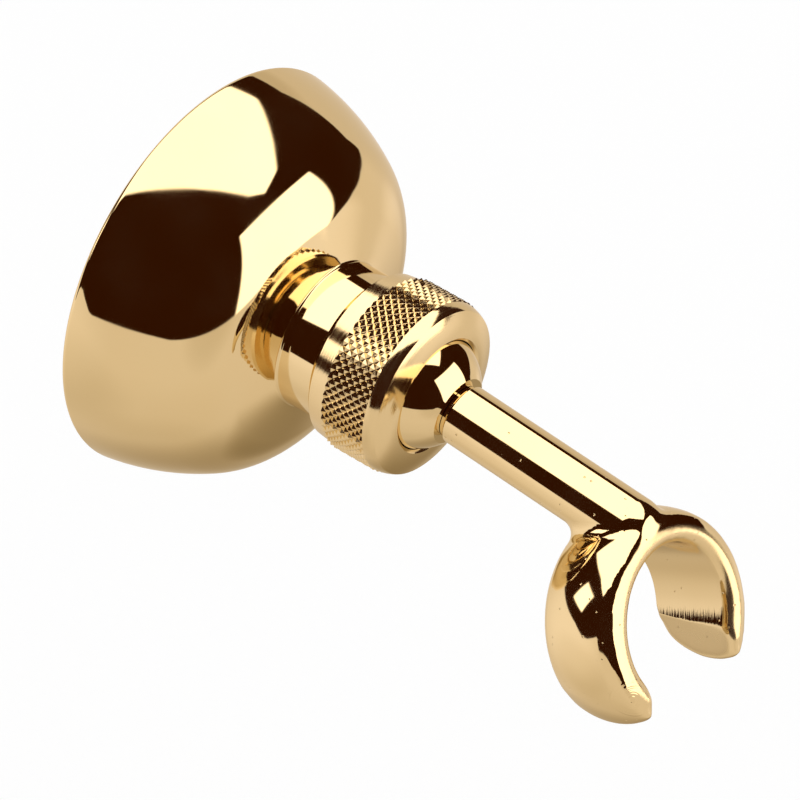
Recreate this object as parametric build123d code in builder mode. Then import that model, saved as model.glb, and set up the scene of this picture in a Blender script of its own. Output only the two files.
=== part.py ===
from build123d import *
import os
from math import cos, radians, sin, sqrt, tan

# Hand shower holder: bell flange, ball socket with a knurled locking nut, and a cradle on an arm.
# Millimetres. The wall is the plane Y = 0, the holder stands out along -Y and +Z is up.
# Every "out" is a distance from the wall.

# Clearances
running_gap = 0.08
thread_gap = 0.05
slip_gap = 0.2
ball_play = 0.15

# Wall plate, stud, washer and nut under the bell
plate_radius = 26.0
plate_thickness = 3.0
screw_spacing = 36.0
screw_hole_radius = 2.6
stud_radius = 4.0
stud_head_flats = 13.0
stud_head_thickness = 1.6
washer_radius = 8.0
washer_thickness = 1.6
stud_nut_flats = 13.0
stud_nut_height = 5.0
stud_nut_chamfer = 0.6

# Bell flange
bell_rim_radius = 32.8
bell_height = 23.6
bell_corner_radius = 24.0
bell_crown_slope = 16.0
bell_skirt_curve = 42.0
bell_shoulder_curve = 15.0
bell_wall = 1.6

# Socket body
socket_radius = 11.9
socket_foot_radius = 13.5
socket_shoulder_length = 7.1
socket_shoulder_chamfer = 0.4
thread_radius = 11.4
thread_length = 8.8
thread_chamfer = 0.5
spigot_radius = 8.0
spigot_length = 2.6
stud_grip = 4.8
cup_depth = 9.2

# Ball, its seat and the locking nut
ball_radius = 9.525
ball_forward = 10.5
seat_radius = 10.1
seat_front_gap = 3.6
seat_hole_radius = 3.0
nut_gap = 0.5
nut_rear_length = 3.3
nut_rear_radius = 13.5
nut_rear_chamfer = 0.4
nut_ring_radius = 13.85
knurl_length = 7.7
knurl_radius = 14.2
nut_front_radius = 14.0
nut_edge_radius = 13.4
nut_front_length = 1.9
nut_ring_curve = 5.0
nut_dome_curve = 14.0
nut_dome_height = 1.05
nut_lip_radius = 9.45
nut_seat_radius = 9.0
nut_thread_run = 0.6

# Arm, leaning down a little from the straight line out of the wall
arm_droop = 4.9
arm_radius = 4.75
neck_radius = 4.2
neck_length = 0.5
arm_end_chamfer = 0.5
spot_face_reach = 7.8
spigot_screw_radius = 3.0
spigot_screw_length = 7.0
arm_reach = 38.2
arm_length = 41.0

# Cradle, a bored ball cut square at both ends, open towards its underside
cradle_pitch = 31.9
cradle_drop = 16.0
cradle_bore_radius = 11.35
cradle_width = 15.0
cradle_crown_wall = 5.15
cradle_ball_shift = 0.8
cradle_back_round = 3.0
cradle_rim_wall = 2.3
cradle_lead_depth = 0.85
arm_blend = 2.5
rim_round = 1.4
bore_front_chamfer = 0.15
bore_back_chamfer = 0.25
mouth_width = 19.9
mouth_taper = 3.9
mouth_tip_round = 1.1
prong_edge_drop = 1.0


# Derived places
def forward(angle):
    """Direction out of the wall, tilted up by an angle in degrees."""
    return Vector(0, -cos(radians(angle)), sin(radians(angle)))


section = Plane(origin=(0, 0, 0), x_dir=(0, -1, 0), z_dir=(-1, 0, 0))
wall = Plane(origin=(0, 0, 0), x_dir=(1, 0, 0), z_dir=(0, -1, 0))
washer_out = plate_thickness
stud_nut_out = washer_out + washer_thickness
stud_length = bell_height + stud_grip
shoulder_out = bell_height + socket_shoulder_length
socket_front_out = shoulder_out + thread_length
cup_floor_out = socket_front_out - cup_depth
cup_radius = seat_radius + running_gap
ball_out = shoulder_out + ball_forward
seat_front_out = ball_out - seat_front_gap
nut_rear_out = shoulder_out + nut_gap
knurl_start_out = nut_rear_out + nut_rear_length
knurl_end_out = knurl_start_out + knurl_length
nut_edge_out = knurl_end_out + nut_front_length
nut_lip_out = nut_edge_out + nut_dome_height
nut_bore_radius = thread_radius + running_gap
nut_bore_end_out = socket_front_out + nut_thread_run
ball_centre = Vector(0, -ball_out, 0)
arm_direction = forward(-arm_droop)
arm_axis = Axis(ball_centre, arm_direction)
across_arm = Plane(origin=ball_centre, x_dir=(1, 0, 0), z_dir=arm_direction)
arm_section = Plane(origin=ball_centre, x_dir=arm_direction, z_dir=(-1, 0, 0))
bore_direction = forward(cradle_pitch - arm_droop)
bore_down = forward(cradle_pitch - arm_droop - 90)
cradle_centre = ball_centre + arm_direction * arm_reach + bore_down * cradle_drop
bore_axis = Axis(cradle_centre, bore_direction)
under_bore = Plane(origin=cradle_centre, x_dir=(1, 0, 0), z_dir=bore_down)
cradle_section = Plane(origin=cradle_centre, x_dir=bore_direction, z_dir=(-1, 0, 0))
half_width = cradle_width / 2
cradle_ball_radius = cradle_bore_radius + cradle_crown_wall


os.makedirs("parts", exist_ok=True)

# Mounting plate: steel disc with two screw holes and a hexagon recess for the stud's head
with BuildPart() as mounting_plate:
    with BuildSketch(wall):
        Circle(plate_radius)
        Circle(stud_radius + thread_gap, mode=Mode.SUBTRACT)
        with GridLocations(screw_spacing, 0, 2, 1):
            Circle(screw_hole_radius, mode=Mode.SUBTRACT)
    extrude(amount=plate_thickness)
    with BuildSketch(wall):
        RegularPolygon(stud_head_flats / 2 + thread_gap, 6, major_radius=False)
    extrude(amount=stud_head_thickness, mode=Mode.SUBTRACT)
mounting_plate.part.label = "mounting_plate"
export_step(mounting_plate.part, "parts/mounting_plate.step")

# Mounting stud: hexagon head let into the back of the plate
with BuildPart() as mounting_stud:
    with BuildSketch(wall):
        RegularPolygon(stud_head_flats / 2, 6, major_radius=False)
    extrude(amount=stud_head_thickness)
    with BuildSketch(wall):
        Circle(stud_radius)
    extrude(amount=stud_length)
    chamfer(mounting_stud.faces().sort_by(Axis.Y)[0].edges(), length=stud_nut_chamfer)
mounting_stud.part.label = "mounting_stud"
export_step(mounting_stud.part, "parts/mounting_stud.step")

# Washer on the plate
with BuildPart() as stud_washer:
    with BuildSketch(wall.offset(washer_out)):
        Circle(washer_radius)
        Circle(stud_radius + slip_gap, mode=Mode.SUBTRACT)
    extrude(amount=washer_thickness)
stud_washer.part.label = "stud_washer"
export_step(stud_washer.part, "parts/stud_washer.step")

# Hexagon nut that holds the stud, with its corners turned off at both ends
with BuildPart() as stud_nut:
    with BuildSketch(wall.offset(stud_nut_out)):
        Circle(stud_nut_flats / 2 + stud_nut_chamfer)
    extrude(amount=stud_nut_height)
    chamfer(stud_nut.edges().filter_by(GeomType.CIRCLE), length=stud_nut_chamfer)
    with BuildSketch(wall.offset(stud_nut_out)):
        RegularPolygon(stud_nut_flats / 2, 6, major_radius=False)
        Circle(stud_radius + thread_gap, mode=Mode.SUBTRACT)
    extrude(amount=stud_nut_height, mode=Mode.INTERSECT)
stud_nut.part.label = "stud_nut"
export_step(stud_nut.part, "parts/stud_nut.step")

# Bell flange: curved skirt, round shoulder and shallow crown, spun to one wall thickness
bell_corner_out = bell_height - (bell_corner_radius - socket_foot_radius) * tan(radians(bell_crown_slope))
with BuildPart() as bell_flange:
    with BuildSketch(section) as bell_profile:
        with BuildLine():
            skirt = RadiusArc((0, bell_rim_radius), (bell_corner_out, bell_corner_radius), bell_skirt_curve)
            Polyline(
                skirt @ 1,
                (bell_height, socket_foot_radius),
                (bell_height, -bell_wall),
                (-bell_wall, -bell_wall),
                (-bell_wall, bell_rim_radius),
                skirt @ 0,
            )
        make_face()
        shoulder = bell_profile.vertices().sort_by_distance((bell_corner_out, bell_corner_radius))[0]
        fillet(shoulder, radius=bell_shoulder_curve)
        offset(amount=-bell_wall, mode=Mode.SUBTRACT)
        Rectangle(bell_height, bell_rim_radius, align=(Align.MIN, Align.MIN), mode=Mode.INTERSECT)
    revolve(axis=Axis.Y)
    with BuildSketch(wall):
        Circle(spigot_radius + slip_gap)
    extrude(amount=bell_height, mode=Mode.SUBTRACT)
bell_flange.part.label = "bell_flange"
export_step(bell_flange.part, "parts/bell_flange.step")

# Socket body: flared foot on the bell, spigot through it, thread for the locking nut and a cup
with BuildPart() as socket_body:
    with BuildSketch(section):
        with BuildLine():
            foot_flare = socket_foot_radius - socket_radius
            foot_top_out = bell_height + foot_flare
            Polyline(
                (bell_height, socket_foot_radius),
                (bell_height, spigot_radius),
                (bell_height - spigot_length, spigot_radius),
                (bell_height - spigot_length, stud_radius + thread_gap),
                (stud_length + thread_gap, stud_radius + thread_gap),
                (stud_length + thread_gap, 0),
                (cup_floor_out, 0),
                (cup_floor_out, cup_radius),
                (socket_front_out, cup_radius),
                (socket_front_out, thread_radius - thread_chamfer),
                (socket_front_out - thread_chamfer, thread_radius),
                (shoulder_out, thread_radius),
                (shoulder_out, socket_radius - socket_shoulder_chamfer),
                (shoulder_out - socket_shoulder_chamfer, socket_radius),
                (foot_top_out, socket_radius),
            )
            RadiusArc((foot_top_out, socket_radius), (bell_height, socket_foot_radius), foot_flare)
        make_face()
    revolve(axis=Axis.Y)
socket_body.part.label = "socket_body"
export_step(socket_body.part, "parts/socket_body.step")

# Ball seat: nylon cup between the socket's floor and the ball
with BuildPart() as ball_seat:
    with BuildSketch(wall.offset(cup_floor_out)):
        Circle(seat_radius)
        Circle(seat_hole_radius, mode=Mode.SUBTRACT)
    extrude(amount=seat_front_out - cup_floor_out)
    with Locations(ball_centre):
        Sphere(ball_radius + ball_play, mode=Mode.SUBTRACT)
ball_seat.part.label = "ball_seat"
export_step(ball_seat.part, "parts/ball_seat.step")

# Knurled nut: plain rear ring, knurl band, front ring, domed face and a round seat behind the lip
with BuildPart() as knurled_nut:
    with BuildSketch(section):
        with BuildLine():
            RadiusArc((knurl_end_out, nut_front_radius), (nut_edge_out, nut_edge_radius), nut_ring_curve)
            RadiusArc((nut_edge_out, nut_edge_radius), (nut_lip_out, nut_lip_radius), nut_dome_curve)
            Polyline(
                (nut_lip_out, nut_lip_radius),
                (nut_lip_out - nut_lip_radius + nut_seat_radius, nut_seat_radius),
                (nut_bore_end_out, nut_seat_radius),
                (nut_bore_end_out, nut_bore_radius),
                (nut_rear_out, nut_bore_radius),
                (nut_rear_out, nut_rear_radius - nut_rear_chamfer),
                (nut_rear_out + nut_rear_chamfer, nut_rear_radius),
                (knurl_start_out, nut_ring_radius),
                (knurl_start_out, knurl_radius),
                (knurl_end_out, knurl_radius),
                (knurl_end_out, nut_front_radius),
            )
        make_face()
    revolve(axis=Axis.Y)
    with Locations(ball_centre):
        Sphere(ball_radius + ball_play, mode=Mode.SUBTRACT)
knurled_nut.part.label = "knurled_nut"
export_step(knurled_nut.part, "parts/knurled_nut.step")

# Ball: spot face and tapped hole where the arm screws in
with BuildPart() as ball:
    with Locations(ball_centre):
        Sphere(ball_radius)
    with BuildSketch(across_arm.offset(spot_face_reach)):
        Circle(ball_radius)
    extrude(amount=ball_radius, mode=Mode.SUBTRACT)
    with BuildSketch(across_arm.offset(spot_face_reach)):
        Circle(spigot_screw_radius + running_gap)
    extrude(amount=-spigot_screw_length - slip_gap, mode=Mode.SUBTRACT)
ball.part.label = "ball"
export_step(ball.part, "parts/ball.step")

# Front lip of the cradle: a dished face, and a round edge that meets the ball's outside
ball_middle = Vector(cradle_ball_shift, 0)
lip_start = Vector(half_width - cradle_lead_depth, cradle_bore_radius)
lip_direction = Vector(cradle_lead_depth, cradle_rim_wall).normalized()
lip_inward = Vector(-lip_direction.Y, lip_direction.X)
lip_round_start = lip_start + lip_inward * rim_round
lip_offset = lip_round_start - ball_middle
lip_along = lip_offset.dot(lip_direction)
lip_reach_squared = (cradle_ball_radius - rim_round) ** 2 - lip_offset.dot(lip_offset)
lip_run = sqrt(lip_along**2 + lip_reach_squared) - lip_along
lip_end = lip_start + lip_direction * lip_run
lip_round_centre = lip_round_start + lip_direction * lip_run
rim_side = ball_middle + (lip_round_centre - ball_middle).normalized() * cradle_ball_radius
dish_start = lip_start - lip_direction * (cradle_bore_radius / 2 / lip_direction.Y)

# Hook arm: screw, neck and round ended arm in one turned profile, run into the cradle's back
neck_start = spot_face_reach + running_gap
arm_start = neck_start + neck_length
screw_start = spot_face_reach - spigot_screw_length
with BuildPart() as hook_arm:
    with BuildSketch(arm_section):
        with BuildLine():
            Polyline(
                (arm_length + arm_radius, 0),
                (screw_start, 0),
                (screw_start, spigot_screw_radius),
                (neck_start, spigot_screw_radius),
                (neck_start, neck_radius),
                (arm_start, neck_radius),
                (arm_start, arm_radius - arm_end_chamfer),
                (arm_start + arm_end_chamfer, arm_radius),
                (arm_length, arm_radius),
            )
            RadiusArc((arm_length, arm_radius), (arm_length + arm_radius, 0), arm_radius)
        make_face()
    revolve(axis=arm_axis)
    # Cradle ball, cut square at the back with a round edge, and blended into the arm
    with BuildSketch(cradle_section) as cradle_profile:
        with Locations((cradle_ball_shift, 0)):
            Circle(cradle_ball_radius)
        with Locations((-half_width, 0)):
            Rectangle(
                2 * cradle_ball_radius,
                cradle_ball_radius,
                align=(Align.MIN, Align.MIN),
                mode=Mode.INTERSECT,
            )
        back_corner = cradle_profile.vertices().sort_by_distance((-half_width, cradle_ball_radius))[0]
        fillet(back_corner, radius=cradle_back_round)
    revolve(axis=bore_axis)
    fillet(hook_arm.edges(Select.NEW), radius=arm_blend)
    # Front face, slightly dished, with its outer edge rounded into the ball
    with BuildSketch(cradle_section):
        with BuildLine():
            Polyline(
                rim_side,
                (rim_side.X, 2 * cradle_ball_radius),
                (2 * cradle_ball_radius, 2 * cradle_ball_radius),
                (2 * cradle_ball_radius, 0),
                (dish_start.X, 0),
                dish_start,
                lip_end,
            )
            RadiusArc(lip_end, rim_side, rim_round)
        make_face()
    revolve(axis=bore_axis, mode=Mode.SUBTRACT)
    # Mouth, a little wider at the back, with the prong ends rounded all along
    mouth_spread = 2 * cradle_ball_radius * tan(radians(mouth_taper))
    with BuildSketch(under_bore):
        with BuildLine():
            Polyline(
                (-mouth_width / 2 - mouth_spread, -2 * cradle_ball_radius),
                (mouth_width / 2 + mouth_spread, -2 * cradle_ball_radius),
                (mouth_width / 2 - mouth_spread, 2 * cradle_ball_radius),
                (-mouth_width / 2 + mouth_spread, 2 * cradle_ball_radius),
                close=True,
            )
        make_face()
    extrude(amount=2 * cradle_ball_radius, mode=Mode.SUBTRACT)
    mouth_edges = hook_arm.edges(Select.NEW)
    prong_edges = mouth_edges.filter_by(
        lambda edge: under_bore.to_local_coords(edge.center()).Z > prong_edge_drop
    )
    fillet(prong_edges, radius=mouth_tip_round)
    # Bore, with both of its edges broken
    bore_flare_length = 2 * cradle_ball_radius - lip_start.X + bore_front_chamfer
    with BuildSketch(cradle_section):
        with BuildLine():
            Polyline(
                (-2 * cradle_ball_radius, 0),
                (-2 * cradle_ball_radius, cradle_bore_radius + bore_back_chamfer),
                (-half_width, cradle_bore_radius + bore_back_chamfer),
                (-half_width + bore_back_chamfer, cradle_bore_radius),
                (lip_start.X - bore_front_chamfer, cradle_bore_radius),
                (2 * cradle_ball_radius, cradle_bore_radius + bore_flare_length),
                (2 * cradle_ball_radius, 0),
                close=True,
            )
        make_face()
    revolve(axis=bore_axis, mode=Mode.SUBTRACT)
hook_arm.part.label = "hook_arm"
export_step(hook_arm.part, "parts/hook_arm.step")
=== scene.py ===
"""Looks of the hand shower holder: brass finishes, turned and cast pieces and a small product studio."""

import logging
import math
from dataclasses import dataclass, replace
from enum import Enum
from typing import Optional, Sequence, Union

import bmesh
import bpy
import numpy as np
from bpy.types import Material, Mesh, Node, NodeSocket, NodeTree, Object
from mathutils import Matrix, Vector
from mathutils.bvhtree import BVHTree
from mathutils.interpolate import poly_3d_calc


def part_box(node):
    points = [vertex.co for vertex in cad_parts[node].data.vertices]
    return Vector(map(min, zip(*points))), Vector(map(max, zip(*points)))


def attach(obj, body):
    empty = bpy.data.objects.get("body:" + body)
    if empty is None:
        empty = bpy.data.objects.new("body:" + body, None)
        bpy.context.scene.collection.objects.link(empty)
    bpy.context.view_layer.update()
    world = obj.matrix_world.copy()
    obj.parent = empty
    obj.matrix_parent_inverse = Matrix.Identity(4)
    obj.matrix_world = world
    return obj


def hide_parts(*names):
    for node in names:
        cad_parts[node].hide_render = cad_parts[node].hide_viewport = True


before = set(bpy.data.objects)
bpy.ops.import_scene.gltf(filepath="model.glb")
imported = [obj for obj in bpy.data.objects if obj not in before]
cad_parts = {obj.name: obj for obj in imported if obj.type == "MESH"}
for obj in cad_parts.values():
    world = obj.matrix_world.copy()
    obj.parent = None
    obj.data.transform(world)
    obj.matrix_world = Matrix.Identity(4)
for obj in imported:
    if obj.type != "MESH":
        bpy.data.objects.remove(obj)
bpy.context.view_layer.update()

MM = 0.001
MERGE = 1e-7
CUT = 1e-8
SHARP_ANGLE = 32.0
QUARTER_TURN = 90.0
HALF_TURN = 180.0
FULL_TURN = 360.0
NOISE_CORE = (0.35, 0.65)
NOISE_BODY = (0.3, 0.7)
NOISE_PLAIN = 1.0
NOISE_RICH = 3.0
CURVE_MIDDLE = 0.5
LOG = logging.getLogger("hand_shower_holder")

Colour = tuple[float, float, float]
Place = tuple[float, float, float]
Pair = tuple[float, float]
Profile = list[Pair]
Source = Union[float, Sequence[float], NodeSocket]


class Slot(Enum):
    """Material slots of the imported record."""

    POLISHED_BRASS = "polished_brass"
    TURNED_BRASS = "turned_brass"


class Body(Enum):
    """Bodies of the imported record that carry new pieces."""

    WALL_BODY = "wall_body"
    LOCK_NUT = "lock_nut"
    ARM = "arm"


class NodeWriter:
    """Adds and links the nodes of one tree."""

    def __init__(self, tree: NodeTree) -> None:
        """Keeps the tree and empties it."""
        self.tree = tree
        tree.nodes.clear()

    def add(self, kind: str, inputs: dict[Union[str, int], Source], **settings: object) -> Node:
        """Adds one node.

        Args:
            kind: Type name of the node.
            inputs: A value or an output socket for each input, by its name or place.
            settings: Properties of the node.

        Returns:
            The new node.
        """
        made = self.tree.nodes.new(kind)
        for name, value in settings.items():
            setattr(made, name, value)
        for key, value in inputs.items():
            self.feed(made.inputs[key], value)
        return made

    def feed(self, socket: NodeSocket, value: Source) -> None:
        """Links an output to an input socket, or sets the socket's own value.

        Args:
            socket: The input socket.
            value: An output socket, or a plain value.
        """
        if isinstance(value, NodeSocket):
            self.tree.links.new(value, socket)
        elif socket.type == "RGBA" and len(value) == 3:
            socket.default_value = (*value, 1.0)
        else:
            socket.default_value = value

    def math(self, operation: str, *values: Source) -> NodeSocket:
        """Result of a Math node with these inputs in order."""
        return self.add("ShaderNodeMath", dict(enumerate(values)), operation=operation).outputs[0]

    def span(
        self, value: Source, low: float, high: float, to: Pair = (0.0, 1.0), smooth: bool = True
    ) -> NodeSocket:
        """Carries a range of values over to another range.

        Args:
            value: The value.
            low: Start of its range.
            high: End of its range.
            to: The values at the start and the end.
            smooth: Whether the passage is smooth or straight.

        Returns:
            The carried value.
        """
        inputs = {"Value": value, "From Min": low, "From Max": high, "To Min": to[0], "To Max": to[1]}
        passage = "SMOOTHSTEP" if smooth else "LINEAR"
        return self.add("ShaderNodeMapRange", inputs, interpolation_type=passage).outputs[0]

    def place(self) -> NodeSocket:
        """Place on the piece, in the shared frame."""
        return self.add("ShaderNodeTexCoord", {}).outputs["Object"]

    def vector(self, operation: str, first: Source, second: Source) -> Node:
        """Vector Math node, whose outputs are a vector and a value."""
        return self.add("ShaderNodeVectorMath", {0: first, 1: second}, operation=operation)

    def join(self, x: Source = 0.0, y: Source = 0.0, z: Source = 0.0) -> NodeSocket:
        """Vector of three values."""
        return self.add("ShaderNodeCombineXYZ", {0: x, 1: y, 2: z}).outputs[0]

    def split(self, vector: Source) -> bpy.types.bpy_prop_collection:
        """The values X, Y and Z of a vector."""
        return self.add("ShaderNodeSeparateXYZ", {0: vector}).outputs

    def hypotenuse(self, *legs: Source) -> NodeSocket:
        """Length across two legs at right angles."""
        return self.math("SQRT", self.math("ADD", *(self.math("POWER", leg, 2.0) for leg in legs)))

    def dot(self, way: Source, other: Vector) -> NodeSocket:
        """Length of a vector along a fixed direction."""
        return self.vector("DOT_PRODUCT", way, other).outputs["Value"]

    def mix(self, share: Source, first: Source, second: Source) -> NodeSocket:
        """Mixes two colours.

        Args:
            share: Share of the second colour.
            first: First colour.
            second: Second colour.

        Returns:
            The mixed colour.
        """
        made = self.add("ShaderNodeMix", {"Factor": share}, data_type="RGBA")
        colours = [socket for socket in made.inputs if socket.type == "RGBA"]
        for socket, colour in zip(colours, (first, second)):
            self.feed(socket, colour)
        return next(socket for socket in made.outputs if socket.type == "RGBA")

    def noise(self, where: Source, size: float, detail: float = 2.0) -> NodeSocket:
        """Noise from 0 to 1, with grains of a size in metres and a number of finer layers."""
        inputs = {"Vector": where, "Scale": 1.0 / size, "Detail": detail}
        return self.add("ShaderNodeTexNoise", inputs).outputs[0]

    def bump(self, height: Source, depth: float, over: Optional[Source] = None) -> NodeSocket:
        """Turns a height into a bent normal.

        Args:
            height: Height, from 0 to 1.
            depth: Real height of 1, in metres.
            over: Normal from a coarser bump, if any.

        Returns:
            The bent normal.
        """
        inputs = {"Strength": 1.0, "Distance": depth, "Height": height}
        if over is not None:
            inputs["Normal"] = over
        return self.add("ShaderNodeBump", inputs).outputs[0]

    def surface(self, inputs: dict[Union[str, int], Source]) -> None:
        """Ends the tree of a material in one shader with these inputs."""
        shader = self.add("ShaderNodeBsdfPrincipled", inputs)
        self.add("ShaderNodeOutputMaterial", {"Surface": shader.outputs[0]})


def direction(bearing: float, height: float) -> Vector:
    """Unit vector to a bearing and a height in degrees."""
    turn, rise = math.radians(bearing), math.radians(height)
    return Vector((math.sin(turn) * math.cos(rise), -math.cos(turn) * math.cos(rise), math.sin(rise)))


@dataclass(frozen=True)
class Cradle:
    """Place of the cradle's bore, from which distances in the cradle are taken."""

    centre: Place = (0.0, -86.524 * MM, -17.519 * MM)
    rise: float = 27.0

    @property
    def front(self) -> Vector:
        """Direction of the bore, towards its front."""
        return direction(0.0, self.rise)

    @property
    def mouth(self) -> Vector:
        """Direction from the bore's axis to the middle of the mouth."""
        return direction(0.0, self.rise - QUARTER_TURN)

    def along(self, points: np.ndarray) -> np.ndarray:
        """Distances of points along the bore, towards its front."""
        return (points - self.centre) @ np.array(self.front)

    def drop(self, points: np.ndarray) -> np.ndarray:
        """Distances of points from the bore's axis towards the mouth."""
        return (points - self.centre) @ np.array(self.mouth)

    def planes(self, along: float, drop: float) -> list[tuple[Vector, Vector]]:
        """A point and a normal of the planes at these distances along the bore and towards the mouth."""
        ways = ((self.front, along), (self.mouth, drop))
        return [(Vector(self.centre) + way * distance, way) for way, distance in ways]


def new_material(name: str) -> tuple[Material, NodeWriter]:
    """Starts an empty node material.

    Args:
        name: Name of the material.

    Returns:
        The material and a writer for its tree.
    """
    material = bpy.data.materials.new(name)
    material.use_nodes = True
    return material, NodeWriter(material.node_tree)


@dataclass(frozen=True)
class Skin:
    """Colour, roughness and normal of a surface."""

    colour: Source
    roughness: Source
    normal: Source


@dataclass(frozen=True)
class Finish:
    """A material whose colour drifts between two set colours and whose fine grain shows in the gloss."""

    name: str
    colour: Colour
    drift_colour: Colour
    tone_grain: float
    grain: float
    grain_depth: float
    polish: Pair
    tone_detail: float = 2.0
    grain_detail: float = 2.0
    metallic: float = 1.0

    def material(self) -> Material:
        """Builds the material.

        Returns:
            The material.
        """
        material, tree = new_material(self.name)
        place = tree.place()
        tone = tree.span(tree.noise(place, self.tone_grain, self.tone_detail), *NOISE_CORE)
        skin = self.skin(tree, place, tree.mix(tone, self.colour, self.drift_colour))
        tree.surface(
            {
                "Base Color": skin.colour,
                "Metallic": self.metallic,
                "Roughness": skin.roughness,
                "Normal": skin.normal,
            }
        )
        return material

    def skin(self, tree: NodeWriter, place: Source, colour: Source) -> Skin:
        """Surface in a colour, with the grain in roughness and normal."""
        grain = tree.noise(place, self.grain, self.grain_detail)
        return Skin(colour, tree.span(grain, *NOISE_BODY, self.polish), tree.bump(grain, self.grain_depth))


@dataclass(frozen=True)
class PlatedSteel(Finish):
    """Zinc plated steel with a soft crystalline bloom."""

    name: str = "zinc_plated_steel"
    colour: Colour = (0.62, 0.63, 0.64)
    drift_colour: Colour = (0.50, 0.52, 0.55)
    tone_grain: float = 2.5 * MM
    grain: float = 0.25 * MM
    grain_depth: float = 0.003 * MM
    polish: Pair = (0.28, 0.42)
    tone_detail: float = NOISE_RICH
    grain_detail: float = NOISE_RICH


@dataclass(frozen=True)
class MouldedNylon(Finish):
    """White nylon with a fine moulded grain."""

    name: str = "moulded_white_nylon"
    colour: Colour = (0.80, 0.78, 0.72)
    drift_colour: Colour = (0.74, 0.72, 0.66)
    tone_grain: float = 3 * MM
    grain: float = 0.2 * MM
    grain_depth: float = 0.004 * MM
    polish: Pair = (0.42, 0.55)
    metallic: float = 0.0


@dataclass(frozen=True)
class TurnedBrass(Finish):
    """Brass with the fine rings of a lathe around the nut's axis."""

    name: str = "turned_brass_rings"
    colour: Colour = (0.88, 0.73, 0.44)
    drift_colour: Colour = (0.86, 0.70, 0.41)
    tone_grain: float = 12 * MM
    grain: float = 0.16 * MM
    grain_depth: float = 0.006 * MM
    polish: Pair = (0.07, 0.15)
    grain_detail: float = NOISE_RICH
    along_ring: float = 0.02
    knurl_middle: float = 38.35 * MM
    knurl_fade: Pair = (3.85 * MM, 3.927 * MM)
    knurl_polish: float = 0.8

    def skin(self, tree: NodeWriter, place: Source, colour: Source) -> Skin:
        """Draws the grain out into rings, and polishes the knurl a little more.

        Args:
            tree: Writer of the material's tree.
            place: Place on the surface.
            colour: Colour of the surface.

        Returns:
            The turned surface.
        """
        apart = tree.split(place)
        radius = tree.hypotenuse(apart["X"], apart["Z"])
        drift = tree.math("MULTIPLY", apart["Z"], self.along_ring)
        rings = tree.join(apart["Y"], radius, drift)
        turned = super().skin(tree, rings, colour)
        off_knurl = tree.math("ABSOLUTE", tree.math("ADD", apart["Y"], self.knurl_middle))
        softness = tree.span(off_knurl, *self.knurl_fade, (self.knurl_polish, 1.0))
        return replace(turned, roughness=tree.math("MULTIPLY", turned.roughness, softness))


@dataclass(frozen=True)
class PolishedBrass(Finish):
    """Mirror polished brass with faint polishing waves and fine hazing."""

    name: str = "polished_brass_mirror"
    colour: Colour = (0.88, 0.73, 0.44)
    drift_colour: Colour = (0.875, 0.715, 0.42)
    tone_grain: float = 18 * MM
    grain: float = 0.9 * MM
    grain_depth: float = 0.0006 * MM
    polish: Pair = (0.03, 0.07)
    wave_grain: float = 7 * MM
    wave_depth: float = 0.012 * MM
    haze_grain: float = 9 * MM
    haze_detail: float = 4.0
    haze_span: Pair = (0.35, 0.7)

    def skin(self, tree: NodeWriter, place: Source, colour: Source) -> Skin:
        """Lays the fine grain over soft waves, and a haze over the polish.

        Args:
            tree: Writer of the material's tree.
            place: Place on the surface.
            colour: Colour of the surface.

        Returns:
            The polished surface.
        """
        haze = tree.noise(place, self.haze_grain, self.haze_detail)
        roughness = tree.span(haze, *self.haze_span, self.polish)
        waves = tree.bump(tree.noise(place, self.wave_grain, NOISE_PLAIN), self.wave_depth)
        peel = tree.noise(place, self.grain, self.grain_detail)
        return Skin(colour, roughness, tree.bump(peel, self.grain_depth, waves))


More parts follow.
